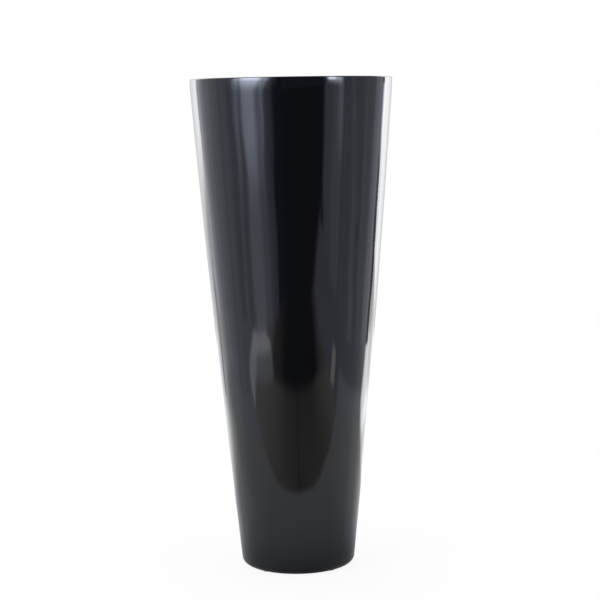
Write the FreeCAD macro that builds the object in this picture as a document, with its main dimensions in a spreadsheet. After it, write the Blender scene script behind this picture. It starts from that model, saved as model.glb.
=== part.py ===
# Tall tapered floor vase: a lacquered fibreglass shell with a weighted, sealed foot.
# Millimetres, +Z up. The origin is on the floor, on the axis of the vase.

import FreeCAD
import Part
import Sketcher
import math
import os

# Driving sizes: name, millimetres, what it measures
SIZES = (
    ("overall_height", 900, "floor to the top of the lip"),
    ("rim_diameter", 370, "outside, across the lip"),
    ("foot_diameter", 210, "outside, across the rounded foot"),
    ("wall_bulge", 4, "how far the wall bows out from a straight taper"),
    ("wall_thickness", 4, "laminate and lacquer together"),
    ("foot_round", 13, "outside radius where the wall turns in under the foot"),
    ("foot_opening", 130, "diameter of the hole inside the turned-in foot"),
    ("bond_gap", 0.3, "glue line between the shell and what is bonded into it"),
    ("base_thickness", 10, "disc that closes the foot"),
    ("ballast_height", 60, "cast weight on the disc"),
    ("floor_thickness", 4, "laminate disc that seals the weight in"),
    ("bead_width", 12, "sealing bead between that disc and the wall"),
    ("band_drop", 8, "lip down to the stiffening band inside the mouth"),
    ("band_height", 45, "stiffening band, measured upright"),
    ("band_thickness", 3, "stiffening band"),
    ("band_round", 2, "radius on the band's two inner edges"),
    ("pad_diameter", 22, "felt pad under the foot"),
    ("pad_thickness", 3, "felt pad"),
)
PAD_COUNT = 4

doc = FreeCAD.newDocument("floor_vase")
sheet = doc.addObject("Spreadsheet::Sheet", "sizes")
for row, (alias, number, meaning) in enumerate(SIZES, start=1):
    sheet.set(f"A{row}", str(number))
    sheet.setAlias(f"A{row}", alias)
    sheet.set(f"B{row}", meaning)
doc.recompute()

# Places worked out from the sizes.
# The lip is a full round about its own centre, and the foot turns in about another.
LIP_X = "(sizes.rim_diameter - sizes.wall_thickness) / 2"
LIP_Z = "(sizes.overall_height - sizes.wall_thickness / 2)"
FOOT_X = "(sizes.foot_diameter / 2 - sizes.foot_round)"
FOOT_Z = "(sizes.pad_thickness + sizes.foot_round)"
LIP_TO_FOOT_SQUARED = f"(({LIP_X} - {FOOT_X})^2 + ({LIP_Z} - {FOOT_Z})^2)"
WALL_RADIUS = f"({LIP_TO_FOOT_SQUARED} / (8 * sizes.wall_bulge) + sizes.wall_bulge / 2)"

# How far a surface lies inside the outer line of the wall
BONDED_INSET = "(sizes.wall_thickness + sizes.bond_gap)"
BAND_INSET = f"({BONDED_INSET} + sizes.band_thickness)"

# Heights of the layers in the foot and of the band in the mouth
BASE_Z = f"(sizes.pad_thickness + {BONDED_INSET})"
BALLAST_Z = f"({BASE_Z} + sizes.base_thickness)"
FLOOR_Z = f"({BALLAST_Z} + sizes.ballast_height)"
BEAD_Z = f"({FLOOR_Z} + sizes.floor_thickness)"
BAND_TOP_Z = "(sizes.overall_height - sizes.band_drop)"
BAND_LOW_Z = f"({BAND_TOP_Z} - sizes.band_height)"

# The wall's own centre, as the solved section of the shell has it, as plain numbers
WALL_CENTRE_X = "(shell_section.Constraints.wall_centre_behind_axis / 1 mm)"
WALL_CENTRE_Z = "(shell_section.Constraints.wall_centre_height / 1 mm)"
BEAD_ARC_X = f"sqrt(({WALL_RADIUS} - {BONDED_INSET})^2 - ({BEAD_Z} - {WALL_CENTRE_Z})^2)"
BEAD_FOOT_X = f"({BEAD_ARC_X} - {WALL_CENTRE_X})"

# How a sketch refers to the points of a line or arc, and to its own origin
START, END, CENTRE = range(1, 4)
ORIGIN = (-1, 1)


def value(expression):
    """The number that an expression over the sizes has now."""
    return float(sheet.evalExpression(expression))


class Section:
    """A sketch in the upright plane of a body: x is the radius, y the height."""

    def __init__(self, body, name):
        self.sketch = body.newObject("Sketcher::SketchObject", name)
        planes = [item for item in body.Origin.OriginFeatures if item.Role == "XZ_Plane"]
        self.sketch.AttachmentSupport = (planes[0], [""])
        self.sketch.MapMode = "FlatFace"

    def line(self, start, end):
        return self.sketch.addGeometry(Part.LineSegment(FreeCAD.Vector(*start), FreeCAD.Vector(*end)))

    def arc(self, centre, radius, start_angle, end_angle):
        circle = Part.Circle(FreeCAD.Vector(*centre), FreeCAD.Vector(0, 0, 1), radius)
        return self.sketch.addGeometry(Part.ArcOfCircle(circle, start_angle, end_angle))

    def rule(self, kind, *places):
        return self.sketch.addConstraint(Sketcher.Constraint(kind, *places))

    def size(self, name, expression, kind, *places):
        """A dimension that follows its expression."""
        index = self.rule(kind, *places, value(expression))
        self.sketch.renameConstraint(index, name)
        self.sketch.setExpression(f"Constraints.{name}", expression)

    def measure(self, name, kind, *places, at_first):
        """A dimension that only reads what the rest of the sketch gives."""
        index = self.rule(kind, *places, at_first)
        self.sketch.renameConstraint(index, name)
        self.sketch.setDriving(index, False)

    def turn(self, body, name):
        """The solid that the section sweeps about the upright axis."""
        revolution = body.newObject("PartDesign::Revolution", name)
        revolution.Profile = self.sketch
        revolution.ReferenceAxis = (self.sketch, ["V_Axis"])
        revolution.Angle = 360
        body.Tip = revolution
        self.sketch.Visibility = False
        doc.recompute()
        return revolution


def wall_centre():
    """Centre of the wall's arc: it touches the lip round and the foot round from outside."""
    lip_x, lip_z, foot_x, foot_z = (value(place) for place in (LIP_X, LIP_Z, FOOT_X, FOOT_Z))
    to_lip = value(WALL_RADIUS) - value("sizes.wall_thickness / 2")
    to_foot = value(WALL_RADIUS) - value("sizes.foot_round")
    span = math.hypot(lip_x - foot_x, lip_z - foot_z)
    along_x = (lip_x - foot_x) / span
    along_z = (lip_z - foot_z) / span
    along = (to_foot**2 - to_lip**2 + span**2) / (2 * span)
    aside = math.sqrt(to_foot**2 - along**2)
    centre_x = foot_x + along * along_x - aside * along_z
    centre_z = foot_z + along * along_z + aside * along_x
    return centre_x, centre_z


def angle_from(centre, place):
    return math.atan2(place[1] - centre[1], place[0] - centre[0])


def wall_x(inset, height):
    """Radius of the surface that lies the given inset inside the outer line, at a height."""
    centre_x, centre_z = wall_centre()
    radius = value(WALL_RADIUS) - inset
    return centre_x + math.sqrt(radius**2 - (height - centre_z)**2)


# Outer shell: wall, lip and turned-in foot as one section of even thickness
def make_outer_shell():
    body = doc.addObject("PartDesign::Body", "outer_shell")
    section = Section(body, "shell_section")
    thickness = value("sizes.wall_thickness")
    floor_level = value("sizes.pad_thickness")
    flange_level = floor_level + thickness
    opening = value("sizes.foot_opening / 2")
    lip = (value(LIP_X), value(LIP_Z))
    foot = (value(FOOT_X), value(FOOT_Z))
    foot_round = value("sizes.foot_round")
    centre = wall_centre()
    radius = value(WALL_RADIUS)
    to_foot = angle_from(centre, foot)
    to_lip = angle_from(centre, lip)
    down = -math.pi / 2

    outside = section.arc(centre, radius, to_foot, to_lip)
    lip_round = section.arc(lip, thickness / 2, to_lip, to_lip + math.pi)
    inside = section.arc(centre, radius - thickness, to_foot, to_lip)
    foot_inside = section.arc(foot, foot_round - thickness, down, to_foot)
    flange_top = section.line((foot[0], flange_level), (opening, flange_level))
    flange_edge = section.line((opening, flange_level), (opening, floor_level))
    underside = section.line((opening, floor_level), (foot[0], floor_level))
    foot_outside = section.arc(foot, foot_round, down, to_foot)

    section.rule("Tangent", outside, END, lip_round, START)
    section.rule("Tangent", lip_round, END, inside, END)
    section.rule("Tangent", inside, START, foot_inside, END)
    section.rule("Tangent", foot_inside, START, flange_top, START)
    section.rule("Tangent", underside, END, foot_outside, START)
    section.rule("Tangent", foot_outside, END, outside, START)
    section.rule("Coincident", flange_top, END, flange_edge, START)
    section.rule("Coincident", flange_edge, END, underside, START)
    section.rule("Coincident", outside, CENTRE, inside, CENTRE)
    section.rule("Coincident", foot_outside, CENTRE, foot_inside, CENTRE)
    section.rule("Horizontal", flange_top)
    section.rule("Horizontal", underside)
    section.rule("Vertical", flange_edge)

    section.size("wall_radius", WALL_RADIUS, "Radius", outside)
    section.size("lip_radius", "sizes.wall_thickness / 2", "Radius", lip_round)
    section.size("foot_radius", "sizes.foot_round", "Radius", foot_outside)
    section.size("lip_out", LIP_X, "DistanceX", *ORIGIN, lip_round, CENTRE)
    section.size("lip_up", LIP_Z, "DistanceY", *ORIGIN, lip_round, CENTRE)
    section.size("foot_out", FOOT_X, "DistanceX", *ORIGIN, foot_outside, CENTRE)
    section.size("underside_up", "sizes.pad_thickness", "DistanceY", *ORIGIN, underside, START)
    section.size("opening_out", "sizes.foot_opening / 2", "DistanceX", *ORIGIN, flange_edge, START)
    section.measure("wall_centre_behind_axis", "DistanceX", outside, CENTRE, *ORIGIN, at_first=-centre[0])
    section.measure("wall_centre_height", "DistanceY", *ORIGIN, outside, CENTRE, at_first=centre[1])
    section.turn(body, "shell_turned")
    return body


def place_wall_arc(section, wall, name, inset):
    """Keep an arc parallel to the shell's wall, the given inset inside its outer line."""
    section.size(f"{name}_radius", f"{WALL_RADIUS} - {inset}", "Radius", wall)
    section.size(f"{name}_centre_x", WALL_CENTRE_X, "DistanceX", wall, CENTRE, *ORIGIN)
    section.size(f"{name}_centre_z", WALL_CENTRE_Z, "DistanceY", *ORIGIN, wall, CENTRE)


# Cavity: the space inside the wall as a solid, used to trim what is fitted into it
def make_cavity():
    body = doc.addObject("PartDesign::Body", "cavity")
    section = Section(body, "cavity_section")
    centre = wall_centre()
    inset = value(BONDED_INSET)
    low = value(BASE_Z)
    top = value("sizes.overall_height")
    corner = (value(FOOT_X), value(FOOT_Z))
    corner_radius = value("sizes.foot_round") - inset
    top_x = wall_x(inset, top)
    to_corner = angle_from(centre, corner)
    to_top = angle_from(centre, (top_x, top))

    wall = section.arc(centre, value(WALL_RADIUS) - inset, to_corner, to_top)
    lid = section.line((top_x, top), (0, top))
    axis = section.line((0, top), (0, low))
    floor = section.line((0, low), (corner[0], low))
    turn_up = section.arc(corner, corner_radius, -math.pi / 2, to_corner)

    section.rule("Coincident", wall, END, lid, START)
    section.rule("Coincident", lid, END, axis, START)
    section.rule("Coincident", axis, END, floor, START)
    section.rule("Tangent", floor, END, turn_up, START)
    section.rule("Tangent", turn_up, END, wall, START)
    section.rule("Horizontal", lid)
    section.rule("Horizontal", floor)
    section.rule("Vertical", axis)
    section.rule("PointOnObject", *ORIGIN, axis)

    place_wall_arc(section, wall, "wall", BONDED_INSET)
    section.size("corner_radius", f"sizes.foot_round - {BONDED_INSET}", "Radius", turn_up)
    section.size("low_up", BASE_Z, "DistanceY", *ORIGIN, floor, START)
    section.size("top_up", "sizes.overall_height", "DistanceY", *ORIGIN, lid, END)
    section.turn(body, "cavity_turned")
    return body


def round_block(label, kind, low_level, height, **radii):
    """A cylinder or cone on the axis, standing at a level."""
    block = doc.addObject(kind, label)
    for side, expression in radii.items():
        block.setExpression(side, expression)
    block.setExpression("Height", height)
    block.setExpression("Placement.Base.z", low_level)
    return block


def combine(label, kind, base, tool):
    """One solid from two: Part::Common, Part::Cut or Part::Fuse."""
    result = doc.addObject(kind, label)
    result.Base = base
    result.Tool = tool
    doc.recompute()
    return result


def slice_of(cavity, label, low_level, height):
    """The part of the cavity between two levels."""
    slab = round_block(f"{label}_slab", "Part::Cylinder", low_level, height, Radius="sizes.rim_diameter / 2")
    return combine(label, "Part::Common", cavity, slab)


# Base plate, ballast and sealed floor: layers that follow the wall up from the foot.
# The plate's boss fills the foot opening, so it centres the plate and lies flush underneath.
def make_foot_layers():
    cavity = make_cavity()
    underside = "sizes.pad_thickness"
    disc = slice_of(cavity, "base_disc", underside, f"{BALLAST_Z} - {underside}")
    boss = round_block("base_boss", "Part::Cylinder", underside, f"{BONDED_INSET} + sizes.base_thickness / 2",
                       Radius="sizes.foot_opening / 2 - sizes.bond_gap")
    base_plate = combine("base_plate", "Part::Fuse", disc, boss)
    ballast = slice_of(cavity, "ballast", BALLAST_Z, "sizes.ballast_height")
    inner_floor = slice_of(cavity, "inner_floor", FLOOR_Z, "sizes.floor_thickness")

    bead_blank = slice_of(cavity, "bead_blank", BEAD_Z, "sizes.bead_width")
    bead_bore = round_block("bead_bore", "Part::Cone", BEAD_Z, "sizes.bead_width",
                            Radius1=f"{BEAD_FOOT_X} - sizes.bead_width", Radius2=BEAD_FOOT_X)
    floor_bead = combine("floor_bead", "Part::Cut", bead_blank, bead_bore)
    return [base_plate, ballast, inner_floor, floor_bead]


# Stiffening band: bonded inside the mouth, with its two inner edges rounded
def make_rim_band():
    body = doc.addObject("PartDesign::Body", "rim_band")
    section = Section(body, "band_section")
    centre = wall_centre()
    radius = value(WALL_RADIUS)
    low, top = value(BAND_LOW_Z), value(BAND_TOP_Z)
    outer, inner = value(BONDED_INSET), value(BAND_INSET)
    edge_round = value("sizes.band_round")
    outer_low = (wall_x(outer, low), low)
    outer_top = (wall_x(outer, top), top)
    round_low = (wall_x(inner - edge_round, low + edge_round), low + edge_round)
    round_top = (wall_x(inner - edge_round, top - edge_round), top - edge_round)
    to_round_low = angle_from(centre, round_low)
    to_round_top = angle_from(centre, round_top)
    up, down = math.pi / 2, 3 * math.pi / 2

    bonded = section.arc(centre, radius - outer, angle_from(centre, outer_low), angle_from(centre, outer_top))
    upper = section.line(outer_top, (round_top[0], top))
    upper_edge = section.arc(round_top, edge_round, up, to_round_top + math.pi)
    shown = section.arc(centre, radius - inner, to_round_low, to_round_top)
    lower_edge = section.arc(round_low, edge_round, to_round_low + math.pi, down)
    lower = section.line(outer_low, (round_low[0], low))

    section.rule("Coincident", bonded, END, upper, START)
    section.rule("Tangent", upper, END, upper_edge, START)
    section.rule("Tangent", upper_edge, END, shown, END)
    section.rule("Tangent", shown, START, lower_edge, START)
    section.rule("Tangent", lower_edge, END, lower, END)
    section.rule("Coincident", bonded, START, lower, START)
    section.rule("Horizontal", upper)
    section.rule("Horizontal", lower)

    place_wall_arc(section, bonded, "bonded", BONDED_INSET)
    place_wall_arc(section, shown, "shown", BAND_INSET)
    section.size("upper_edge_radius", "sizes.band_round", "Radius", upper_edge)
    section.size("lower_edge_radius", "sizes.band_round", "Radius", lower_edge)
    section.size("upper_up", BAND_TOP_Z, "DistanceY", *ORIGIN, upper, START)
    section.size("lower_up", BAND_LOW_Z, "DistanceY", *ORIGIN, lower, START)
    section.turn(body, "band_turned")
    return body


# Floor pads: spaced evenly round the middle of the foot's flat ring
def make_floor_pads():
    ring_radius = "(sizes.foot_opening / 2 + sizes.foot_diameter / 2 - sizes.foot_round) / 2"
    pads = []
    for number in range(PAD_COUNT):
        bearing = f"{360 * (number + 0.5) / PAD_COUNT} deg"
        pad = doc.addObject("Part::Cylinder", f"floor_pad_{number + 1}")
        pad.setExpression("Radius", "sizes.pad_diameter / 2")
        pad.setExpression("Height", "sizes.pad_thickness")
        pad.setExpression("Placement.Base.x", f"{ring_radius} * cos({bearing})")
        pad.setExpression("Placement.Base.y", f"{ring_radius} * sin({bearing})")
        pads.append(pad)
    doc.recompute()
    return pads


def write_parts(pieces):
    """Refuse anything that did not build, then write one file per piece."""
    for item in doc.Objects:
        if "Invalid" in item.State or "Error" in item.State:
            raise RuntimeError(f"{item.Label} did not build: {item.State}")
    os.makedirs("parts", exist_ok=True)
    for piece in pieces:
        if piece.Shape.isNull() or not piece.Shape.isValid():
            raise RuntimeError(f"{piece.Label} is not a sound solid")
        piece.Shape.exportStep(f"parts/{piece.Label}.step")


vase = [make_outer_shell(), make_rim_band(), *make_foot_layers(), *make_floor_pads()]
doc.recompute()
write_parts(vase)
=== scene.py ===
"""Tall tapered floor vase in black lacquer, on a plain white studio floor.

Metres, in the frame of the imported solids: +Z up, the origin on the floor, on the axis of the vase.
"""

import math
import random

import bpy
from mathutils import Matrix, Vector


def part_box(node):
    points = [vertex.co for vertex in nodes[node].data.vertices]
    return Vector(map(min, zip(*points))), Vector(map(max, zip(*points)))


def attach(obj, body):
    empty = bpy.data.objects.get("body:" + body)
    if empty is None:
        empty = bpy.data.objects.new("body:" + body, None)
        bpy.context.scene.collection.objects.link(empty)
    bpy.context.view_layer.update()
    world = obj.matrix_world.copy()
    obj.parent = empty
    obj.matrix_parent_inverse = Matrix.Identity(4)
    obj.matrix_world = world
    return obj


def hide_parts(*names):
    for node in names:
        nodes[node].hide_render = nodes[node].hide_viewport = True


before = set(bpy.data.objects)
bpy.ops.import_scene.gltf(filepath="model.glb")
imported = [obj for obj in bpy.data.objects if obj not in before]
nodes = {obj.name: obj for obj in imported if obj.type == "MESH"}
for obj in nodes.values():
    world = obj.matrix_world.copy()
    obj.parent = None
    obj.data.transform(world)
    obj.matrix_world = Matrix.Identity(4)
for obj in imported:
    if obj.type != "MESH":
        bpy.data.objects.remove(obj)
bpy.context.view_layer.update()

# Driving sizes, as the solids have them
HEIGHT = 0.900
RIM_RADIUS = 0.185
FOOT_RADIUS = 0.105
WALL_BULGE = 0.004
WALL_THICKNESS = 0.004
FOOT_ROUND = 0.013
OPENING_RADIUS = 0.065
BOND_GAP = 0.0003
BEAD_WIDTH = 0.012
PAD_RADIUS = 0.011
PAD_THICKNESS = 0.003
PAD_COUNT = 4

LIP_RADIUS = WALL_THICKNESS / 2
LIP = (RIM_RADIUS - LIP_RADIUS, HEIGHT - LIP_RADIUS)
FOOT = (FOOT_RADIUS - FOOT_ROUND, PAD_THICKNESS + FOOT_ROUND)
BEAD_INSET = WALL_THICKNESS + BOND_GAP

# What the hand finish leaves in the wall: the last stretch below the lip rolls in,
# and shallow waves run round it, each with its count, depth, phase and lean up the wall.
# The waves grow to their depth over a short height above the floor, and drift to and fro on their way up.
ROLL_HEIGHT = 0.024
ROLL_DEPTH = 0.0009
WAVE_START_HEIGHT = 0.08
WAVE_DRIFT = 0.12
DRIFTS_UP = 9
DRIFTS_ROUND = 2
HAND_WAVES = (
    (2, 0.00010, 0.4, 1.1),
    (5, 0.00010, 2.1, -9.0),
    (8, 0.00008, 1.3, 17.0),
    (11, 0.00007, 0.9, -14.0),
    (19, 0.00005, 1.7, -1.9),
    (31, 0.000028, 2.8, 3.1),
    (47, 0.000014, 0.3, -2.2),
)
WAVES_DEPTH = sum(depth for _, depth, _, _ in HAND_WAVES)

# How the toe of the sealing bead wanders: count, depth and phase of each wave
BEAD_WAVES = ((7, 0.0007, 0.6), (17, 0.0004, 2.0))

# Felt pads: radius of the soft edge and of the pinhole in the middle, counts of the waves that make
# the outline ragged, and their depth as a share of the radius
PAD_EDGE = 0.0009
PAD_PINHOLE = 0.0002
PAD_WAVES = (9, 17, 29)
PAD_RAGGED = 0.002
PAD_SEED = 4

# Fineness of the meshes: segments round the axis, steps along a section, and what counts as a sharp edge
SHELL_SEGMENTS = 320
BEAD_SEGMENTS = 160
PAD_SEGMENTS = 72
WALL_STEPS = 170
FOOT_STEPS = 16
LIP_STEPS = 18
INNER_WALL_STEPS = 90
INNER_FOOT_STEPS = 10
BEAD_STEPS = 12
PAD_EDGE_STEPS = 6
SHARP_ANGLE = math.radians(50)

# Directions in a section
DOWN = -math.pi / 2
OUT = 0
UP = math.pi / 2

# Photograph's viewpoint, with the sensor and the lens in millimetres
CAMERA_PLACE = (0.0, -3.0205, 0.8519)
CAMERA_SENSOR = 36.0
CAMERA_LENS = 99.03
CAMERA_PITCH = math.radians(6.751)
CAMERA_YAW = math.radians(0.195)
CAMERA_ROLL = math.radians(0.891)


def smooth_step(low, high, number):
    """0 below low, 1 above high, and an even S between them."""
    part = min(max((number - low) / (high - low), 0.0), 1.0)
    return part * part * (3 - 2 * part)


def past(edge, soft, number):
    """0 before an edge and 1 past it, with a soft stretch on both sides of it."""
    return smooth_step(edge - soft, edge + soft, number)


def hump(centre, half_width, edge, number):
    """1 near the centre, falling to 0 over a soft edge on both sides."""
    return 1 - past(half_width, edge / 2, abs(number - centre))


def humps(rows, number):
    """Sum of humps, each row with its centre, half width, soft edge and height."""
    return sum(height * hump(centre, half, edge, number) for centre, half, edge, height in rows)


# Section of the wall
def wall_arc():
    """Centre and radius of the wall's outer line, which touches the lip round and the foot round."""
    across, up = LIP[0] - FOOT[0], LIP[1] - FOOT[1]
    span = math.hypot(across, up)
    across, up = across / span, up / span
    radius = span**2 / (8 * WALL_BULGE) + WALL_BULGE / 2
    to_lip, to_foot = radius - LIP_RADIUS, radius - FOOT_ROUND
    along = (to_foot**2 - to_lip**2 + span**2) / (2 * span)
    aside = math.sqrt(to_foot**2 - along**2)
    return (FOOT[0] + along * across - aside * up, FOOT[1] + along * up + aside * across), radius


WALL_CENTRE, WALL_RADIUS = wall_arc()
TO_LIP = math.atan2(LIP[1] - WALL_CENTRE[1], LIP[0] - WALL_CENTRE[0])
TO_FOOT = math.atan2(FOOT[1] - WALL_CENTRE[1], FOOT[0] - WALL_CENTRE[0])


def wall_radius_at(inset, height):
    """Radius of the surface that lies the given inset inside the outer line of the wall."""
    return WALL_CENTRE[0] + math.sqrt((WALL_RADIUS - inset)**2 - (height - WALL_CENTRE[1])**2)


def arc(centre, radius, start, end, steps):
    """Points of a section along an arc, without the last one."""
    middle, level = centre
    angles = [start + (end - start) * step / steps for step in range(steps)]
    return [(middle + radius * math.cos(angle), level + radius * math.sin(angle)) for angle in angles]


def finished(outline, number=0):
    """Points of a section that all take the finish of the given number."""
    return [(radius, height, number) for radius, height in outline]


# Mesh building
def lathe(name, section, segments, finishes, shift):
    """A closed section swept about the upright axis. Each point of the section is a radius, a height and
    the number of the finish on the face that follows it. Shift moves a point at its turn round the axis."""
    points = []
    for step in range(segments):
        turn = 2 * math.pi * step / segments
        for radius, height, _ in section:
            radius, height = shift(turn, radius, height)
            points.append((radius * math.sin(turn), -radius * math.cos(turn), height))
    count = len(section)
    faces, face_finish = [], []
    for step in range(segments):
        here, there = step * count, (step + 1) % segments * count
        for place in range(count):
            after = (place + 1) % count
            faces.append((here + place, there + place, there + after, here + after))
            face_finish.append(section[place][2])
    mesh = bpy.data.meshes.new(name)
    mesh.from_pydata(points, [], faces)
    for finish in finishes:
        mesh.materials.append(finish)
    mesh.polygons.foreach_set("material_index", face_finish)
    mesh.polygons.foreach_set("use_smooth", [True] * len(faces))
    mesh.set_sharp_from_angle(angle=SHARP_ANGLE)
    return place_mesh(name, mesh)


def place_mesh(name, mesh):
    mesh.update()
    piece = bpy.data.objects.new(name, mesh)
    bpy.context.scene.collection.objects.link(piece)
    return piece


# Finishes
def set_inputs(node, **numbers):
    """Sets inputs of a node, each under its name with an underscore for a space."""
    for name, number in numbers.items():
        node.inputs[name.replace("_", " ")].default_value = number


class Finish:
    """A material's nodes, with short calls for what the finishes share."""

    def __init__(self, name):
        self.material = bpy.data.materials.new(name)
        self.material.use_nodes = True
        self.nodes = self.material.node_tree.nodes
        self.shader = self.nodes["Principled BSDF"]
        self.place = self.add("ShaderNodeTexCoord").outputs["Object"]

    def add(self, kind, **settings):
        node = self.nodes.new(kind)
        for name, setting in settings.items():
            setattr(node, name, setting)
        return node

    def join(self, source, socket):
        self.material.node_tree.links.new(source, socket)

    def noise(self, scale, detail=3.0, place=None):
        node = self.add("ShaderNodeTexNoise")
        set_inputs(node, Scale=scale, Detail=detail)
        self.join(place or self.place, node.inputs["Vector"])
        return node.outputs["Fac"]

    def streaks(self, *scale, detail):
        """Noise with a scale of its own along x, y and z."""
        node = self.add("ShaderNodeMapping")
        set_inputs(node, Scale=scale)
        self.join(self.place, node.inputs["Vector"])
        return self.noise(1.0, detail, node.outputs["Vector"])

    def cells(self, scale):
        """Distance from the middle of a cell, and a chance number that the whole cell shares."""
        node = self.add("ShaderNodeTexVoronoi")
        set_inputs(node, Scale=scale)
        self.join(self.place, node.inputs["Vector"])
        return node.outputs["Distance"], node.outputs["Color"]

    def ranged(self, source, low, high, from_low=0.3, from_high=0.7):
        """A varying number brought into a range of its own."""
        node = self.add("ShaderNodeMapRange")
        set_inputs(node, From_Min=from_low, From_Max=from_high, To_Min=low, To_Max=high)
        self.join(source, node.inputs["Value"])
        return node.outputs["Result"]

    def mixed(self, factor, first, second):
        """A colour that goes from the first to the second with the factor."""
        node = self.add("ShaderNodeMix", data_type="RGBA")
        self.join(factor, node.inputs["Factor"])
        for name, colour in (("A", first), ("B", second)):
            socket = next(item for item in node.inputs if item.name == name and item.type == "RGBA")
            if isinstance(colour, tuple):
                socket.default_value = (*colour, 1)
            else:
                self.join(colour, socket)
        return next(item for item in node.outputs if item.type == "RGBA")

    def math(self, operation, first, second):
        node = self.add("ShaderNodeMath", operation=operation)
        for socket, number in zip(node.inputs, (first, second)):
            if isinstance(number, float):
                socket.default_value = number
            else:
                self.join(number, socket)
        return node.outputs["Value"]

    def bump(self, height, depth, below=None):
        """Relief of a given depth in metres, laid over the relief below it."""
        node = self.add("ShaderNodeBump")
        set_inputs(node, Strength=1.0, Distance=depth)
        self.join(height, node.inputs["Height"])
        if below:
            self.join(below, node.inputs["Normal"])
        return node.outputs["Normal"]

    def feed(self, **sources):
        """Joins sources to inputs of the plain shader, and gives the finished material."""
        for name, source in sources.items():
            self.join(source, self.shader.inputs[name.replace("_", " ")])
        return self.material

    def layered(self, factor, first, second):
        """A shader that goes from the first to the second with the factor."""
        node = self.add("ShaderNodeMixShader")
        for socket, source in zip(node.inputs, (factor, first, second)):
            self.join(source, socket)
        return node.outputs["Shader"]

    def show(self, shader):
        """Puts another shader in the place of the plain one, and gives the finished material."""
        self.join(shader, self.nodes["Material Output"].inputs["Surface"])
        self.nodes.remove(self.shader)
        return self.material


def make_lacquer():
    """Polished black lacquer: faint cloudiness, upright rubbing marks and a few specks of dust."""
    finish = Finish("black_lacquer")
    set_inputs(finish.shader, IOR=1.5)
    clear, cloudy, dust = (0.0014, 0.0017, 0.0027), (0.0024, 0.0028, 0.0041), (0.16, 0.16, 0.16)
    distance, chance = finish.cells(scale=52)
    small = finish.math("LESS_THAN", distance, 0.022)
    rare = finish.math("GREATER_THAN", chance, 0.75)
    speck = finish.math("MULTIPLY", small, rare)
    colour = finish.mixed(speck, finish.mixed(finish.noise(scale=7), clear, cloudy), dust)
    rubbing = finish.streaks(90, 90, 2.2, detail=3)
    relief = finish.bump(rubbing, depth=0.00008)
    relief = finish.bump(finish.noise(scale=420, detail=1), depth=0.000002, below=relief)
    roughness = finish.ranged(rubbing, low=0.055, high=0.085)
    return finish.feed(Base_Color=colour, Roughness=roughness, Normal=relief)


def make_inner_coat():
    """Brushed black coat on the laminate inside, with the mat's strands showing through."""
    finish = Finish("black_inner_coat")
    dark, pale = (0.011, 0.011, 0.012), (0.026, 0.026, 0.028)
    colour = finish.mixed(finish.noise(scale=14, detail=5), dark, pale)
    strands = finish.streaks(160, 160, 34, detail=4)
    crossing = finish.streaks(52, 52, 190, detail=4)
    relief = finish.bump(crossing, depth=0.0005, below=finish.bump(strands, depth=0.0005))
    roughness = finish.ranged(strands, low=0.38, high=0.6)
    return finish.feed(Base_Color=colour, Roughness=roughness, Normal=relief)


def make_laminate():
    """Painted glass-fibre laminate: satin, with a woven grain."""
    finish = Finish("painted_laminate")
    dark, pale = (0.010, 0.010, 0.011), (0.022, 0.022, 0.024)
    colour = finish.mixed(finish.noise(scale=20, detail=4), dark, pale)
    weave = finish.streaks(240, 240, 60, detail=3)
    crossing = finish.streaks(60, 60, 240, detail=3)
    relief = finish.bump(crossing, depth=0.0003, below=finish.bump(weave, depth=0.0003))
    roughness = finish.ranged(weave, low=0.32, high=0.52)
    return finish.feed(Base_Color=colour, Roughness=roughness, Normal=relief)


def make_base_coat():
    """Matt base coat under the foot, scuffed where it has been slid about."""
    finish = Finish("matt_base_coat")
    whole, scuffed = (0.014, 0.014, 0.015), (0.05, 0.05, 0.05)
    scuff = finish.streaks(30, 220, 30, detail=6)
    worn = finish.ranged(scuff, low=0.0, high=1.0, from_low=0.52, from_high=0.72)
    colour = finish.mixed(worn, whole, scuffed)
    relief = finish.bump(finish.noise(scale=600), depth=0.0001)
    roughness = finish.ranged(scuff, low=0.55, high=0.75)
    return finish.feed(Base_Color=colour, Roughness=roughness, Normal=relief)


def make_concrete():
    """Cast ballast: grey, sandy and pitted."""
    finish = Finish("cast_ballast")
    dark, pale = (0.17, 0.165, 0.155), (0.34, 0.33, 0.315)
    colour = finish.mixed(finish.noise(scale=18, detail=6), dark, pale)
    sand = finish.noise(scale=300, detail=6)
    distance, _ = finish.cells(scale=90)
    pits = finish.ranged(distance, low=0.0, high=1.0, from_low=0.05, from_high=0.25)
    relief = finish.bump(pits, depth=0.0015, below=finish.bump(sand, depth=0.0008))
    roughness = finish.ranged(sand, low=0.75, high=0.95)
    return finish.feed(Base_Color=colour, Roughness=roughness, Normal=relief)


def make_sealant():
    """Black sealing bead, smoothed with a finger."""
    finish = Finish("black_sealant")
    dark, pale = (0.010, 0.010, 0.010), (0.022, 0.022, 0.022)
    drag = finish.noise(scale=24)
    colour = finish.mixed(drag, dark, pale)
    relief = finish.bump(finish.noise(scale=130, detail=2), depth=0.0004)
    roughness = finish.ranged(drag, low=0.30, high=0.48)
    return finish.feed(Base_Color=colour, Roughness=roughness, Normal=relief)


def make_felt():
    """Pressed charcoal felt."""
    finish = Finish("charcoal_felt")
    set_inputs(finish.shader, Sheen_Weight=0.4, Sheen_Roughness=0.5)
    dark, pale = (0.020, 0.020, 0.021), (0.075, 0.074, 0.072)
    fibre = finish.noise(scale=900, detail=5)
    colour = finish.mixed(fibre, dark, pale)
    relief = finish.bump(fibre, depth=0.0008)
    roughness = finish.ranged(fibre, low=0.85, high=1.0)
    return finish.feed(Base_Color=colour, Roughness=roughness, Normal=relief)


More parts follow.
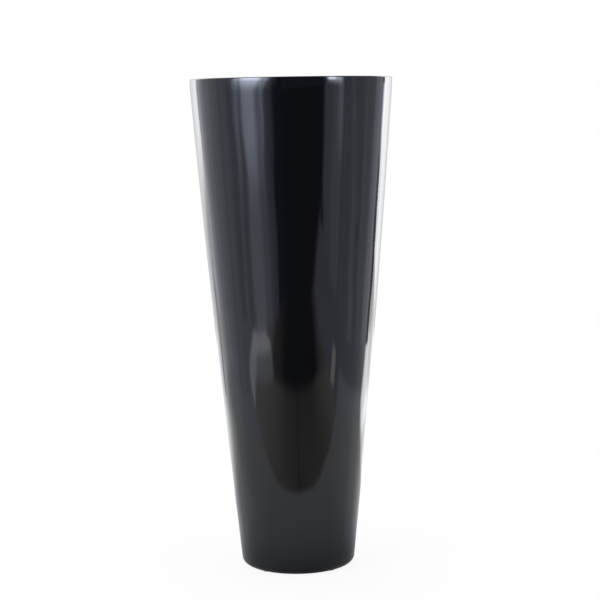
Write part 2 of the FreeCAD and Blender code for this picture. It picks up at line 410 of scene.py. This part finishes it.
# Outer shell: wall, lip and turned-in foot
def hand_finish(turn, height):
    """How far the rubbed-down wall stands in from the true arc."""
    climb = height / HEIGHT + WAVE_DRIFT * math.sin(DRIFTS_UP * height + DRIFTS_ROUND * turn)
    waves = sum(
        depth * math.sin(count * turn + phase + lean * climb)
        for count, depth, phase, lean in HAND_WAVES
    )
    roll = ROLL_DEPTH * max(0.0, (height - HEIGHT + ROLL_HEIGHT) / ROLL_HEIGHT)**2
    return (WAVES_DEPTH + waves) * smooth_step(0.0, WAVE_START_HEIGHT, height) + roll


def shift_shell(turn, radius, height):
    """The hand finish lies on the outside, and fades out over the lip and round the foot."""
    outside = wall_radius_at(0.0, height)
    share = smooth_step(outside - WALL_THICKNESS, outside - LIP_RADIUS / 2, radius)
    return radius - share * hand_finish(turn, height), height


def make_shell():
    flange_top = PAD_THICKNESS + WALL_THICKNESS
    outside = (
        arc(FOOT, FOOT_ROUND, DOWN, TO_FOOT, FOOT_STEPS)
        + arc(WALL_CENTRE, WALL_RADIUS, TO_FOOT, TO_LIP, WALL_STEPS)
        + arc(LIP, LIP_RADIUS, TO_LIP, TO_LIP + math.pi, LIP_STEPS)
    )
    inside = (
        arc(WALL_CENTRE, WALL_RADIUS - WALL_THICKNESS, TO_LIP, TO_FOOT, INNER_WALL_STEPS)
        + arc(FOOT, FOOT_ROUND - WALL_THICKNESS, TO_FOOT, DOWN, INNER_FOOT_STEPS)
        + [(FOOT[0], flange_top), (OPENING_RADIUS, flange_top)]
    )
    underside = [(OPENING_RADIUS, PAD_THICKNESS)]
    section = finished(outside, 0) + finished(inside, 1) + finished(underside, 0)
    finishes = (make_lacquer(), make_inner_coat())
    shell = lathe("lacquered_shell", section, SHELL_SEGMENTS, finishes, shift_shell)
    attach(shell, "root")
    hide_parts("outer_shell")


# Sealing bead: a hollow fillet between the inner floor and the wall
def shift_bead(turn, radius, height):
    """The toe of the bead wanders a little, as a hand-drawn bead does."""
    wander = sum(depth * math.sin(count * turn + phase) for count, depth, phase in BEAD_WAVES)
    free = smooth_step(0.0, BEAD_WIDTH, wall_radius_at(BEAD_INSET, height) - radius)
    return radius + wander * free, height


def make_bead():
    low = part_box("floor_bead")[0].z
    heights = [low + BEAD_WIDTH * (1 - step / BEAD_STEPS) for step in range(BEAD_STEPS)]
    wall_side = [(wall_radius_at(BEAD_INSET, height), height) for height in heights]
    corner = (wall_radius_at(BEAD_INSET, low), low)
    cove_centre = (corner[0] - BEAD_WIDTH, low + BEAD_WIDTH)
    cove = arc(cove_centre, BEAD_WIDTH, DOWN, OUT, BEAD_STEPS)
    section = finished([*wall_side, corner, *cove])
    bead = lathe("sealing_bead", section, BEAD_SEGMENTS, (make_sealant(),), shift_bead)
    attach(bead, "root")
    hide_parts("floor_bead")


# Felt pads: pressed discs with soft, slightly ragged edges
def pad_outline():
    """Section of a pad, from its middle at the floor round the soft edge to its middle at the top."""
    flat = PAD_RADIUS - PAD_EDGE
    lower_edge = arc((flat, PAD_EDGE), PAD_EDGE, DOWN, OUT, PAD_EDGE_STEPS)
    upper_edge = arc((flat, PAD_THICKNESS - PAD_EDGE), PAD_EDGE, OUT, UP, PAD_EDGE_STEPS)
    top = [(flat, PAD_THICKNESS), (PAD_PINHOLE, PAD_THICKNESS)]
    return [(PAD_PINHOLE, 0.0), *lower_edge, *upper_edge, *top]


def ragged_edge(phases):
    """A shift that makes a pad's outline ragged, and nowhere wider than the plain one."""
    def shift_pad(turn, radius, height):
        ragged = sum(1 + math.sin(count * turn + phase) for count, phase in zip(PAD_WAVES, phases))
        return radius * (1 - PAD_RAGGED * ragged), height

    return shift_pad


def make_pads():
    felt = make_felt()
    section = finished(pad_outline())
    ring = (OPENING_RADIUS + FOOT[0]) / 2
    chance = random.Random(PAD_SEED)
    for number in range(PAD_COUNT):
        phases = [chance.uniform(0, 2 * math.pi) for _ in PAD_WAVES]
        pad = lathe(f"felt_pad_{number + 1}", section, PAD_SEGMENTS, (felt,), ragged_edge(phases))
        bearing = 2 * math.pi * (number + 0.5) / PAD_COUNT
        pad.data.transform(Matrix.Translation((ring * math.cos(bearing), ring * math.sin(bearing), 0)))
        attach(pad, "root")
        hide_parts(f"floor_pad_{number + 1}")


# Solids that keep their shape and only take a finish
def dress_solids():
    laminate = make_laminate()
    dressed = {
        "rim_band": laminate,
        "inner_floor": laminate,
        "base_plate": make_base_coat(),
        "ballast": make_concrete(),
    }
    for name, finish in dressed.items():
        mesh = nodes[name].data
        mesh.materials.clear()
        mesh.materials.append(finish)


make_shell()
make_bead()
make_pads()
dress_solids()

# Studio floor: its level and reach, the share of glow beside the vase where the shadow shows,
# and the distances from the vase's axis between which that grows to full glow
FLOOR_LEVEL = -0.0004
FLOOR_REACH = 40.0
SHADOW_GLOW = 0.92
SHADOW_FADE = (0.12, 0.45)


def seen_directly(tree):
    """1 for the rays that show the background: the camera's own, and those that gloss or glass sends on."""
    path = tree.nodes.new("ShaderNodeLightPath")
    total = path.outputs["Is Camera Ray"]
    for name in ("Is Glossy Ray", "Is Transmission Ray"):
        adding = tree.nodes.new("ShaderNodeMath")
        adding.operation = "MAXIMUM"
        tree.links.new(total, adding.inputs[0])
        tree.links.new(path.outputs[name], adding.inputs[1])
        total = adding.outputs["Value"]
    return total


def make_floor_finish():
    """White paper that glows where it is seen directly, except for the shadow beside the vase.
    It is clear from below."""
    finish = Finish("studio_floor")
    dim, bright = (0.84, 0.86, 0.90), (0.88, 0.90, 0.94)
    diffuse = finish.add("ShaderNodeBsdfDiffuse")
    finish.join(finish.mixed(finish.noise(scale=3), dim, bright), diffuse.inputs["Color"])
    paper = diffuse.outputs["BSDF"]
    glow = finish.add("ShaderNodeEmission").outputs["Emission"]
    distance = finish.add("ShaderNodeVectorMath", operation="LENGTH")
    finish.join(finish.place, distance.inputs[0])
    glowing = finish.ranged(distance.outputs["Value"], SHADOW_GLOW, 1.0, *SHADOW_FADE)
    seen = finish.layered(glowing, paper, glow)
    above = finish.layered(seen_directly(finish.material.node_tree), paper, seen)
    clear = finish.add("ShaderNodeBsdfTransparent").outputs["BSDF"]
    from_below = finish.add("ShaderNodeNewGeometry").outputs["Backfacing"]
    return finish.show(finish.layered(from_below, above, clear))


def make_floor():
    """White floor with the vase's shadow on it. The light of the room comes up through it, so that
    the underside of the foot can be looked at from below."""
    sides = ((-1, -1), (1, -1), (1, 1), (-1, 1))
    corners = [(x * FLOOR_REACH, y * FLOOR_REACH, FLOOR_LEVEL) for x, y in sides]
    mesh = bpy.data.meshes.new("studio_floor")
    mesh.from_pydata(corners, [], [(0, 1, 2, 3)])
    mesh.materials.append(make_floor_finish())
    floor = place_mesh("studio_floor", mesh)
    floor.visible_diffuse = False
    floor.visible_shadow = False


# Studio as the lacquer sees it: cards that only reflections show, each lit by a formula of x, y and z.
# Left and right are those of the picture, and a level of 1 is about that of the paper round the vase.

# Tints of the light: plain, from the white paper behind the vase, from the bare floor, from the paper round
# the vase, from the hanging cloths and from the tall lamp
PLAIN = (1.0, 1.0, 1.0)
REAR_TINT = (0.99, 1.0, 1.01)
BARE_TINT = (1.02, 1.0, 0.96)
PAPER_TINT = (0.97, 0.99, 1.05)
CLOTH_TINT = (0.92, 0.95, 1.13)
LAMP_TINT = (0.88, 0.95, 1.17)

# Mesh steps of the cards, and the levels of those on the floor, where the one round the vase lies on top
NEAR_STEP = 0.015
FINE_STEP = 0.03
COARSE_STEP = 0.5
CARD_LEVEL = 0.0004
NEAR_LEVEL = 1.5 * CARD_LEVEL

# Tall lamp at the left front: its bearing from the vase, its distance and half its width
LAMP_BEARING = math.radians(43)
LAMP_DISTANCE = 1.62
LAMP_HALF_WIDTH = 1.0
LAMP_AWAY = Vector((-math.sin(LAMP_BEARING), -math.cos(LAMP_BEARING)))
LAMP_ALONG = Vector((math.cos(LAMP_BEARING), -math.sin(LAMP_BEARING)))

# Cloths that hang down both sides, with a stand at the back end of the right-hand one
LEFT_CLOTH_X = -2.0
LEFT_CLOTH_Y = (-1.2, 1.8)
RIGHT_CLOTH_X = 1.65
RIGHT_CLOTH_Y = (-2.4, 1.1)
CLOTH_END_Y = (1.06, 1.32)
CLOTH_HEIGHT = 2.4

# Folds of the right-hand cloth: how far they lean with the height, up to where, and the place,
# half width, soft edge and glow of each
FOLD_LEAN = 0.37
FOLD_TOP = 0.8
LEANING_FOLDS = (
    (-0.25, 0.07, 0.16, 0.24),
    (-0.02, 0.06, 0.14, -0.07),
    (0.24, 0.07, 0.16, 0.10),
)

# Low stand behind the vase, at its left: both ends on the floor, its height, and how much of that is soft
STAND_START = (-1.05, 0.938)
STAND_END = (-0.95, 1.023)
STAND_HEIGHT = 0.38
STAND_TOP_FADE = 0.10

# White paper behind the vase, and the dark room that everything stands in
BACKDROP_X = (3.2, -2.7)
BACKDROP_Y = 2.5
BACKDROP_HEIGHT = 3.0
ROOM_X = (-3.5, 6.5)
ROOM_FRONT = -8.5
ROOM_HEIGHT = 5.0

# Floor of the studio: the part round the vase, the rest of it, and the far part behind the camera
NEAR_FLOOR_X = (-1.3, 1.3)
NEAR_FLOOR_Y = (-1.3, 0.8)
FLOOR_X = (-3.0, 3.0)
FLOOR_Y = (-4.2, BACKDROP_Y)
FAR_FLOOR_X = (-4.0, 8.0)
FAR_FLOOR_Y = (-9.0, FLOOR_Y[0])

# Front edge of the paper round the vase, and its waves: place, half width, soft edge and depth of each
PAPER_FRONT = -0.462
PAPER_WAVES = (
    (-0.63, 0.05, 0.12, 0.020),
    (-0.24, 0.09, 0.14, 0.022),
    (0.24, 0.09, 0.14, 0.022),
    (0.29, 0.07, 0.10, 0.012),
)

# Bare floor in front of that edge: its left side along the lamp, its right side, where it turns dark,
# and where and how fast it widens
BARE_LEFT = -0.32
BARE_RIGHT = 0.90
DARK_FRONT = -1.06
WIDENING_FRONT = -1.8
WIDENING = 1.25

# Line on the floor where the left-hand cloth starts: the direction square to it, and its distance that way
CLOTH_FOOT_NORMAL = (-0.90, -0.44)
CLOTH_FOOT_DISTANCE = 1.12

# Thin line of painted shadow on the floor at the right, cast by the edge of the paper:
# the direction square to it, and its distance that way
EDGE_SHADOW_NORMAL = (0.63, 0.78)
EDGE_SHADOW_DISTANCE = 0.17

# Pool of a small lamp on the floor, and the foot of the stand at the right: place, turn, size and soft edge
POOL_PATCH = ((1.08, -0.75), math.radians(-22), (0.33, 0.14), 0.04)
CLOTH_END_PATCH = ((RIGHT_CLOTH_X - 0.03, sum(CLOTH_END_Y) / 2), 0.0, (0.10, 0.28), 0.03)


def tinted(tint, glow):
    """Light of a given tint and level."""
    return tuple(glow * part for part in tint)


def blend(first, second, share):
    """Light or tint that goes from the first to the second with the share."""
    return tuple(start + (end - start) * share for start, end in zip(first, second))


def along_lamp(x, y):
    """Place along the face of the tall lamp, from its middle on to the right."""
    return x * LAMP_ALONG.x + y * LAMP_ALONG.y


def before_lamp(x, y):
    """How far a place lies before the face of the tall lamp, towards the vase."""
    return LAMP_DISTANCE - x * LAMP_AWAY.x - y * LAMP_AWAY.y


def patch(x, y, place, turn, size, edge):
    """1 on a turned rectangle of the floor, falling to 0 over its soft edges."""
    along = (x - place[0]) * math.cos(turn) + (y - place[1]) * math.sin(turn)
    aside = (y - place[1]) * math.cos(turn) - (x - place[0]) * math.sin(turn)
    return hump(0, size[0] / 2, edge, along) * hump(0, size[1] / 2, edge, aside)


# Light of the upright cards
def tall_lamp_light(x, y, z):
    """A bright core with a fringe to its left and a paler wing to its right, widening and growing brighter
    towards the top, in a wide halo before a pale cloth."""
    along = along_lamp(x, y)
    flare = smooth_step(0.625, 0.945, z)
    raised = smooth_step(0.25, 0.60, z)
    core_place = -0.08 - 0.09 * smooth_step(0.45, 0.70, z) + 0.09 * flare
    core = 1.75 * hump(core_place, 0.24 + 0.10 * flare, 0.14, along)
    fringe = hump(0.08 * z - 0.62, 0.08, 0.18, along)
    wing_end = 0.34 + 0.22 * flare
    wing = (0.40 + 0.35 * raised) * past(-0.30, 0.15, along) * (1 - past(wing_end, 0.06, along))
    streak = 0.45 * hump(0.28, 0.04, 0.07, along)
    top = max(0.0, min(z, 1.07) - 0.665) / 0.25
    climb = 0.30 + 0.70 * smooth_step(0.31, 0.63, z) + 3.4 * top**1.5
    halo = 1.2 * hump(-0.05, 0.70, 0.5, along) * smooth_step(0.665, 0.965, z)
    cloth = 0.73 - 0.26 * smooth_step(0.30, 0.60, along) - 0.39 * smooth_step(0.58, 0.72, along)
    tint = blend(CLOTH_TINT, LAMP_TINT, raised)
    return tinted(tint, cloth + (core + fringe + wing + streak) * climb + halo)


def fold_shading(along):
    """Painted light and shade of soft upright folds in the cloth that hangs down both sides."""
    return 1 + 0.045 * math.sin(along / 0.073) + 0.035 * math.sin(along / 0.047 + 1.0)


def left_cloth_light(x, y, z):
    """Pale cloth down the left side, brighter and less tinted towards the back, with the painted light and
    shade of its folds.
    """
    back = max(0.0, y + 0.4) / 2.2
    tint = blend(CLOTH_TINT, REAR_TINT, 0.5 * smooth_step(-1.2, 0.4, y))
    return tinted(tint, (0.92 + 1.2 * back**2) * fold_shading(y))


def right_cloth_light(x, y, z):
    """Pale cloth down the right side, dark at its front end and less tinted towards the back, with painted
    light and shade of upright and leaning folds, an upright strip of light near the front, and a lamp with
    a brighter tip above that."""
    front = smooth_step(-2.30, -2.03, y)
    back = smooth_step(0.3, 0.8, y)
    cloth = (0.12 + 0.56 * front + 0.4 * back) * fold_shading(y)
    strip = hump(-1.17, 0.11, 0.20, y) * (0.2 + 0.75 * smooth_step(0.335, 0.63, z))
    upright_fold_light = 0.20 * hump(-1.45, 0.14, 0.16, y)
    leaning_fold_light = humps(LEANING_FOLDS, y + FOLD_LEAN * min(z, FOLD_TOP))
    lamp = 5.5 * hump(-1.52, 0.38, 0.24, y) * smooth_step(0.725, 0.945, z)
    tip = 10.0 * hump(-1.68, 0.26, 0.20, y) * smooth_step(0.87, 0.96, z)
    tint = blend(CLOTH_TINT, REAR_TINT, 0.4 * smooth_step(-0.3, 0.5, y))
    return tinted(tint, cloth + strip + upright_fold_light + leaning_fold_light + lamp + tip)


def cloth_end_light(x, y, z):
    """Dark edge of a stand at the back end of the right-hand cloth, paler towards the top. The white paper
    lights its back over a part of the height."""
    edge = 0.22 + 0.30 * smooth_step(0.25, 0.80, z)
    lit = smooth_step(0.52, 0.70, z) * (1 - smooth_step(0.84, 0.88, z))
    glow = 4.5 * smooth_step(1.10, CLOTH_END_Y[1], y) * lit
    return tinted(CLOTH_TINT, edge + glow)


def left_stand_light(x, y, z):
    """Low grey stand behind the vase, at its left, soft at its sides and top."""
    middle = (STAND_START[0] + STAND_END[0]) / 2
    half = STAND_END[0] - middle
    side = smooth_step(0.4 * half, half, abs(x - middle))
    top = smooth_step(STAND_HEIGHT - STAND_TOP_FADE, STAND_HEIGHT, z)
    return tinted(CLOTH_TINT, 0.75 + 0.75 * max(side, top))


def backdrop_light(x, y, z):
    """White paper behind the vase, lit from both ends."""
    right = 3.3 * smooth_step(0.8, 2.4, x) + 2.2 * smooth_step(2.3, 2.9, x) * smooth_step(0.3, 0.6, z)
    left = 0.45 * smooth_step(0.7, 1.5, -x) + 3.0 * smooth_step(1.0, 2.7, -x) * smooth_step(0.2, 0.65, z)
    return tinted(REAR_TINT, 1.15 + right + left)


def dark_room_light(x, y, z):
    """Painted shade of the dark room behind the camera, on a dim sheet that stands in for it."""
    return tinted(CLOTH_TINT, 0.12)


# Light of the level cards
def ceiling_light(x, y, z):
    """Dim ceiling, brighter over the lit backdrop."""
    return tinted(CLOTH_TINT, 0.25 + 0.5 * smooth_step(-1.0, 2.0, y))


def front_paper_light(x, y):
    """Paper round the vase: darker towards the foot, but less so close beside it, and dim at the right.
    It takes the tint of the cloths away from the vase."""
    distance = max(math.hypot(x, y), FOOT_RADIUS)
    turn = x / distance
    shade = (0.72 + 0.06 * turn) * math.exp((FOOT_RADIUS - distance) / (0.155 + 0.03 * turn))
    close = 1 - smooth_step(0.01, 0.07, distance - FOOT_RADIUS)
    shade *= 1 - 0.18 * close * smooth_step(0.2, 0.7, abs(turn))
    dim = 0.12 * (1 - smooth_step(0.5, 1.2, distance))
    corner_front = -y - 0.25 * max(0.0, x - 0.9)
    corner = 0.38 * smooth_step(0.55, 0.90, x) * smooth_step(0.43, 0.53, corner_front)
    side = 0.35 * smooth_step(1.16, 1.26, x) * (1 - smooth_step(0.4, 0.8, y))
    away = smooth_step(0.7, 1.2, distance) * (1 - smooth_step(-0.4, 0.4, y))
    tint = blend(PAPER_TINT, CLOTH_TINT, away)
    return tinted(tint, (1 - shade) * (1 - dim) * (1 - max(corner, side)))


def paper_light(x, y):
    """Paper round the vase, strongly lit beyond a soft edge at the rear, and most of all at the right."""
    left = smooth_step(0.1, 0.5, -x)
    far_left = smooth_step(0.8, 1.25, -x) * (1 - 0.7 * smooth_step(1.3, 1.6, -x))
    edge = 0.58 - 0.08 * left + 0.32 * far_left + max(0.0, x - 1.1)
    soft = 0.08 + 0.32 * left - 0.12 * far_left
    pool = 2.4 * hump(1.18, 0.45, 0.26, x) * (1 - smooth_step(0.2, 0.9, y - edge))
    sides = 0.4 * hump(-0.9, 0.45, 0.5, x) + 0.5 * smooth_step(0.2, 0.6, x)
    rear = tinted(REAR_TINT, 1.55 + sides + pool)
    return blend(front_paper_light(x, y), rear, past(edge, soft, y))


def cloth_foot_light(light, x, y, z):
    """A given light of the paper with the foot of the left-hand cloth over it, and a thin line of painted
    shade in the crease between. The folds of the cloth run on over the floor, straight towards the vase."""
    beyond = CLOTH_FOOT_NORMAL[0] * x + CLOTH_FOOT_NORMAL[1] * y - CLOTH_FOOT_DISTANCE
    share = past(0, 0.03, beyond) * smooth_step(0.85, 0.95, -x)
    if share > 0:
        light = blend(light, left_cloth_light(x, LEFT_CLOTH_X * y / x, z), share)
    # Painted shade in the crease along the foot of the cloth
    return tinted(light, 1 - 0.12 * hump(0, 0.012, 0.03, beyond))


def bare_floor_light(x, y, widened):
    """Bare floor in front of the paper: grey, then dark from a soft edge on, and paler at both sides."""
    grey_left = 0.45 * smooth_step(0.0, 0.9, 0.08 - x)
    grey_right = 0.40 * smooth_step(0.3, 0.98, x)
    # A thin darker line down the middle of the bare floor
    middle_line = 0.10 * hump(0.03, 0.012, 0.03, x)
    tip = 0.07 * hump(0.05, 0.06, 0.14, x) * smooth_step(-0.62, -0.50, y)
    grey = 0.24 + grey_left + grey_right + 0.15 * (y + 1.04) - middle_line - tip
    dark_rim = 0.45 * (1 - smooth_step(-0.87, -0.67, x + widened))
    dark_left = 0.20 * (1 - smooth_step(-0.72, -0.17, x + widened))
    dark_right = 0.38 * smooth_step(0.58, BARE_RIGHT, x - widened)
    dark = 0.05 + dark_rim + dark_left + dark_right
    edge = DARK_FRONT + 0.17 * min(x * x, 1.0)
    return tinted(BARE_TINT, dark + (grey - dark) * past(edge, 0.06, y))


def bare_floor_share(x, y, widened):
    """1 on the bare floor, which lies in front of the paper's wavy edge and between its own two sides."""
    edge = PAPER_FRONT + humps(PAPER_WAVES, x) + 0.012 * smooth_step(0.25, 0.45, abs(x))
    in_front = 1 - past(edge, 0.015, y)
    return in_front * past(BARE_LEFT, 0.02, along_lamp(x, y)) * (1 - past(BARE_RIGHT, 0.02, x - widened))


def lamp_pool(x, y):
    """What the tall lamp throws on the bare floor, and its share: brightest under the lamp and down
    the left, where a tail runs on to the edge of the paper."""
    along, before = along_lamp(x, y), before_lamp(x, y)
    left = -0.40 - 0.18 * smooth_step(-0.05, 0.35, before)
    right = 0.07 + 0.15 * smooth_step(0.0, 0.20, before)
    tail = 1 - smooth_step(-0.37, -0.31, along)
    share = past(left, 0.04, along) * (1 - past(right, 0.04, along))
    share *= smooth_step(-0.02, 0.06, before) * smooth_step(0.43, 0.47, -y)
    share *= max(tail, 1 - smooth_step(0.40, 0.52, before))
    bright = 2.6 - 0.6 * smooth_step(0.15, 0.35, before)
    dimmed = smooth_step(0.18, 0.28, before) * smooth_step(-0.36, -0.26, along)
    return tinted(PAPER_TINT, bright + (1.2 - bright) * dimmed), share


def floor_light(x, y, z):
    """The whole floor: paper, the foot of the left-hand cloth, the bare floor in front, a thin line of
    painted shadow at the right, the pools of light from two lamps, and the dark foot of a stand."""
    light = cloth_foot_light(paper_light(x, y), x, y, z)
    widened = WIDENING * max(0.0, WIDENING_FRONT - y)
    light = blend(light, bare_floor_light(x, y, widened), bare_floor_share(x, y, widened))
    # Painted shadow of the paper's edge, a thin line at the right
    across_line = EDGE_SHADOW_NORMAL[0] * x + EDGE_SHADOW_NORMAL[1] * y
    line = 0.2 * hump(EDGE_SHADOW_DISTANCE, 0.02, 0.05, across_line) * smooth_step(0.44, 0.50, -y)
    light = tinted(light, 1 - line)
    light = blend(light, *lamp_pool(x, y))
    light = blend(light, tinted(PLAIN, 1.7), patch(x, y, *POOL_PATCH))
    return blend(light, tinted(PLAIN, 0.1), patch(x, y, *CLOTH_END_PATCH))


def far_floor_light(x, y, z):
    """Dark floor behind the camera."""
    return tinted(PLAIN, 0.05)


# Cards
def make_card_finish():
    """Light that a card gives, as its own points carry it."""
    finish = Finish("studio_card")
    glow = finish.add("ShaderNodeEmission")
    light = finish.add("ShaderNodeAttribute", attribute_name="light")
    finish.join(light.outputs["Color"], glow.inputs["Color"])
    finish.material.cycles.emission_sampling = "NONE"
    return finish.show(glow.outputs["Emission"])


CARD = make_card_finish()


def make_card(name, corner, across, up, light, step):
    """A card that only reflections see, lit at each of its points as light tells."""
    columns = max(2, round(across.length / step))
    rows = max(2, round(up.length / step))
    points, faces = [], []
    for row in range(rows + 1):
        for column in range(columns + 1):
            points.append(corner + across * (column / columns) + up * (row / rows))
    for row in range(rows):
        for column in range(columns):
            first = row * (columns + 1) + column
            faces.append((first, first + 1, first + columns + 2, first + columns + 1))
    mesh = bpy.data.meshes.new(name)
    mesh.from_pydata(points, [], faces)
    shades = mesh.attributes.new("light", "FLOAT_COLOR", "POINT")
    shades.data.foreach_set("color", [part for point in points for part in (*light(*point), 1.0)])
    mesh.materials.append(CARD)
    card = place_mesh(name, mesh)
    card.visible_camera = False
    card.visible_diffuse = False
    card.visible_transmission = False
    card.visible_shadow = False


def upright_card(name, start, end, height, light, step=FINE_STEP):
    """A card that stands on the floor, from one place on it to another."""
    corner = Vector((*start, 0))
    make_card(name, corner, Vector((*end, 0)) - corner, Vector((0, 0, height)), light, step)


def level_card(name, x_span, y_span, height, light, step=FINE_STEP):
    """A card that lies level, over a stretch of x and a stretch of y."""
    corner = Vector((x_span[0], y_span[0], height))
    across = Vector((x_span[1] - x_span[0], 0, 0))
    along = Vector((0, y_span[1] - y_span[0], 0))
    make_card(name, corner, across, along, light, step)


def side_card(name, x, y_span, light):
    """An upright card along one side of the vase, as high as the cloths."""
    upright_card(name, (x, y_span[0]), (x, y_span[1]), CLOTH_HEIGHT, light)


def front_card(name, x_span, y, height, light, step=FINE_STEP):
    """An upright card across the view, before or behind the vase."""
    upright_card(name, (x_span[0], y), (x_span[1], y), height, light, step)


def make_cards():
    lamp_foot, lamp_half = LAMP_AWAY * LAMP_DISTANCE, LAMP_ALONG * LAMP_HALF_WIDTH
    lamp_start, lamp_end = lamp_foot - lamp_half, lamp_foot + lamp_half
    upright_card("tall_lamp", lamp_start, lamp_end, CLOTH_HEIGHT, tall_lamp_light)
    side_card("left_cloth", LEFT_CLOTH_X, LEFT_CLOTH_Y, left_cloth_light)
    side_card("right_cloth", RIGHT_CLOTH_X, RIGHT_CLOTH_Y, right_cloth_light)
    side_card("cloth_end", RIGHT_CLOTH_X, CLOTH_END_Y, cloth_end_light)
    upright_card("left_stand", STAND_START, STAND_END, STAND_HEIGHT, left_stand_light, NEAR_STEP)
    front_card("backdrop", BACKDROP_X, BACKDROP_Y, BACKDROP_HEIGHT, backdrop_light)
    # A dim sheet of painted shade for the unlit room behind the camera
    front_card("dark_room_card", ROOM_X, ROOM_FRONT, ROOM_HEIGHT, dark_room_light, COARSE_STEP)
    level_card("ceiling", ROOM_X, (ROOM_FRONT, BACKDROP_Y), ROOM_HEIGHT, ceiling_light, COARSE_STEP)
    level_card("near_floor", NEAR_FLOOR_X, NEAR_FLOOR_Y, NEAR_LEVEL, floor_light, NEAR_STEP)
    level_card("floor", FLOOR_X, FLOOR_Y, CARD_LEVEL, floor_light)
    level_card("far_floor", FAR_FLOOR_X, FAR_FLOOR_Y, CARD_LEVEL, far_floor_light, COARSE_STEP)


# World, lamps and camera
ROOM_TINT = (0.93, 0.96, 1.11)

# Lamps, each with its place, its width and its power in watts
LAMPS = {
    "key_lamp": ((-1.5, -1.4, 1.5), 1.2, 24),
    "fill_lamp": ((1.7, -0.9, 1.2), 1.4, 12),
    "top_lamp": ((-0.2, 0.9, 2.6), 1.8, 32),
}


def make_world():
    """White where it is seen directly, and a pale room with a darker ceiling where it only gives light."""
    world = bpy.data.worlds.new("studio")
    bpy.context.scene.world = world
    world.use_nodes = True
    tree = world.node_tree
    tree.nodes.clear()
    place = tree.nodes.new("ShaderNodeTexCoord")
    split = tree.nodes.new("ShaderNodeSeparateXYZ")
    tree.links.new(place.outputs["Generated"], split.inputs["Vector"])
    rise = tree.nodes.new("ShaderNodeMapRange")
    set_inputs(rise, From_Min=0.15, From_Max=0.6, To_Min=0.75, To_Max=0.25)
    tree.links.new(split.outputs["Z"], rise.inputs["Value"])
    room = tree.nodes.new("ShaderNodeBackground")
    set_inputs(room, Color=(*ROOM_TINT, 1))
    tree.links.new(rise.outputs["Result"], room.inputs["Strength"])
    white = tree.nodes.new("ShaderNodeBackground")
    set_inputs(white, Color=(*PLAIN, 1))
    choice = tree.nodes.new("ShaderNodeMixShader")
    tree.links.new(seen_directly(tree), choice.inputs["Fac"])
    tree.links.new(room.outputs["Background"], choice.inputs[1])
    tree.links.new(white.outputs["Background"], choice.inputs[2])
    output = tree.nodes.new("ShaderNodeOutputWorld")
    tree.links.new(choice.outputs["Shader"], output.inputs["Surface"])


def make_lamp(name, place, size, power):
    """A soft square lamp aimed at the middle of the vase. The cards stand in for it in reflections."""
    light = bpy.data.lights.new(name, "AREA")
    light.size = size
    light.energy = power
    lamp = bpy.data.objects.new(name, light)
    lamp.location = place
    aim = Vector((0, 0, HEIGHT / 2)) - lamp.location
    lamp.rotation_euler = aim.to_track_quat("-Z", "Y").to_euler()
    lamp.visible_glossy = False
    bpy.context.scene.collection.objects.link(lamp)


def make_camera():
    data = bpy.data.cameras.new("camera")
    data.sensor_width = CAMERA_SENSOR
    data.lens = CAMERA_LENS
    camera = bpy.data.objects.new("camera", data)
    turn = (
        Matrix.Rotation(-CAMERA_YAW, 4, "Z")
        @ Matrix.Rotation(math.pi / 2 - CAMERA_PITCH, 4, "X")
        @ Matrix.Rotation(-CAMERA_ROLL, 4, "Z")
    )
    camera.matrix_world = Matrix.Translation(CAMERA_PLACE) @ turn
    bpy.context.scene.collection.objects.link(camera)
    bpy.context.scene.camera = camera


make_floor()
make_cards()
make_world()
for lamp_name, lamp_settings in LAMPS.items():
    make_lamp(lamp_name, *lamp_settings)
make_camera()
bpy.context.scene.view_settings.view_transform = "Standard"
